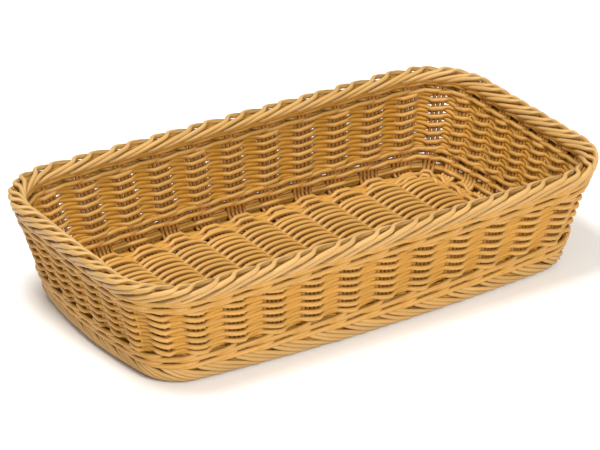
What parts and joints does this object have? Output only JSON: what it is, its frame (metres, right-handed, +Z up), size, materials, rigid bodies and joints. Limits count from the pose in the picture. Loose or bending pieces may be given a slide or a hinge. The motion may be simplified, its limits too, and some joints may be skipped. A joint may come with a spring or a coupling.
{
  "type": "woven bread basket",
  "caption": "Low rectangular bread basket with flared walls, woven from honey-coloured round plastic cane, with a rolled rim and a foot border.",
  "frame": {"origin": "on the surface that the basket stands on, under the middle of the basket", "axes": "+X along the basket's length, +Y across its width, +Z up"},
  "size_m": [0.325, 0.176, 0.068],
  "materials": {
    "stake_cane": "extruded polypropylene cane, satin, darker where it lies inside the weave",
    "weaver_cane": "extruded polypropylene cane, satin, honey brown with faint lengthwise streaks",
    "border_cane": "extruded polypropylene cane, satin, pale honey where the borders catch the light"
  },
  "bodies": {
    "root": {"cross_stakes_01": "stake_cane", "cross_stakes_02": "stake_cane", "cross_stakes_03": "stake_cane", "cross_stakes_04": "stake_cane", "cross_stakes_05": "stake_cane", "cross_stakes_06": "stake_cane", "cross_stakes_07": "stake_cane", "cross_stakes_08": "stake_cane", "cross_stakes_09": "stake_cane", "cross_stakes_10": "stake_cane", "cross_stakes_11": "stake_cane", "end_stakes_01": "stake_cane", "end_stakes_02": "stake_cane", "end_stakes_03": "stake_cane", "end_stakes_04": "stake_cane", "end_stakes_05": "stake_cane", "end_stakes_06": "stake_cane", "end_stakes_07": "stake_cane", "corner_stakes_01": "stake_cane", "corner_stakes_02": "stake_cane", "corner_stakes_03": "stake_cane", "corner_stakes_04": "stake_cane", "base_canes_01": "weaver_cane", "base_canes_02": "weaver_cane", "base_canes_03": "weaver_cane", "base_canes_04": "weaver_cane", "base_canes_05": "weaver_cane", "base_canes_06": "weaver_cane", "base_canes_07": "weaver_cane", "base_canes_08": "weaver_cane", "wall_weaver_01": "weaver_cane", "wall_weaver_02": "weaver_cane", "wall_weaver_03": "weaver_cane", "wall_weaver_04": "weaver_cane", "wall_weaver_05": "weaver_cane", "wall_weaver_06": "weaver_cane", "wall_weaver_07": "weaver_cane", "wall_weaver_08": "weaver_cane", "wall_weaver_09": "weaver_cane", "wall_weaver_10": "weaver_cane", "wall_weaver_11": "weaver_cane", "wall_weaver_12": "weaver_cane", "bottom_wale": "weaver_cane", "top_wale": "weaver_cane", "foot_border": "border_cane", "rim_border": "border_cane"}
  },
  "joints": []
}
